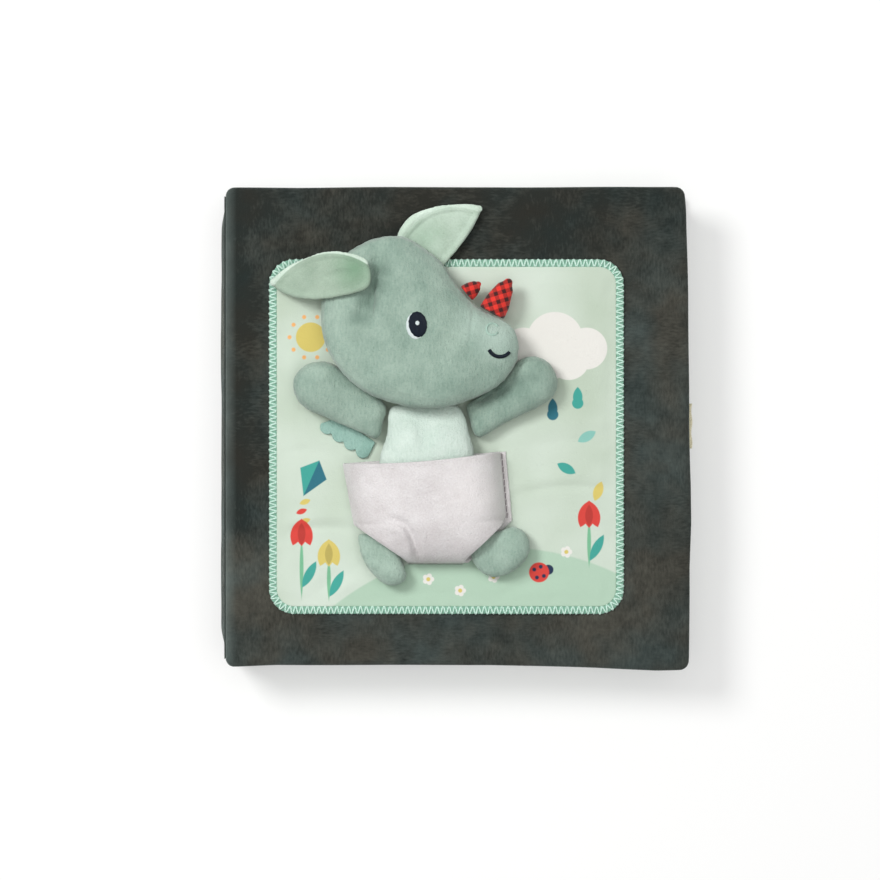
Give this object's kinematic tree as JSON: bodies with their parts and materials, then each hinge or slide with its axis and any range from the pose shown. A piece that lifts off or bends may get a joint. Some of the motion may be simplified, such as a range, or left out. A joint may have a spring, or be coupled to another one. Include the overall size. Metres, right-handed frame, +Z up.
{
  "type": "cloth book",
  "caption": "Padded cloth activity book, closed, with a printed panel on the front cover and a plush rhinoceros in a nappy lying on it.",
  "frame": {"origin": "middle of the book's outline at the table, under the closed book", "axes": "+X from the spine to the open edge, +Y up the page, +Z up from the back cover to the front cover"},
  "size_m": [0.2072, 0.213, 0.0669],
  "materials": {
    "velour": "short pile velour, matt with a soft sheen",
    "lining_cloth": "smooth printed polyester, mint",
    "page_cloth": "smooth printed polyester, pale mint",
    "ribbon": "woven ribbon, pale yellow",
    "printed_cloth": "smooth printed polyester, mint with simple motifs",
    "stitching": "glossy embroidery thread, mint",
    "fleece": "brushed fleece, white",
    "plush": "short pile plush, grey green",
    "plush_light": "short pile plush, pale mint",
    "horn_check": "woven check, red and black",
    "eye_thread": "satin stitch embroidery, navy"
  },
  "bodies": {
    "page_block": {"spine": "velour", "pages": "page_cloth", "page_tab": "ribbon"},
    "front_cover": {"front_cover": "velour", "front_lining": "lining_cloth", "cover_panel": "printed_cloth", "panel_stitching": "stitching", "nappy_back": "fleece", "nappy_front": "fleece", "nappy_stitching": "stitching", "toy_head": "plush", "toy_ear_left": "plush_light", "toy_ear_right": "plush_light", "toy_horn": "horn_check", "toy_small_horn": "horn_check", "toy_eye": "eye_thread", "toy_body": "plush_light", "toy_arm_left": "plush", "toy_arm_right": "plush", "toy_leg_left": "plush", "toy_leg_right": "plush", "toy_tail": "plush_light"},
    "back_cover": {"back_cover": "velour", "back_lining": "lining_cloth"}
  },
  "joints": [
    {"name": "front_cover_fold", "type": "hinge", "parent": "page_block", "child": "front_cover", "pos_m": [-0.10375, 0, 0.03025], "axis": [0, -1, 0], "range_deg": [0, 180]},
    {"name": "back_cover_fold", "type": "hinge", "parent": "page_block", "child": "back_cover", "pos_m": [-0.10375, 0, 0.00815], "axis": [0, 1, 0], "range_deg": [0, 150]}
  ]
}
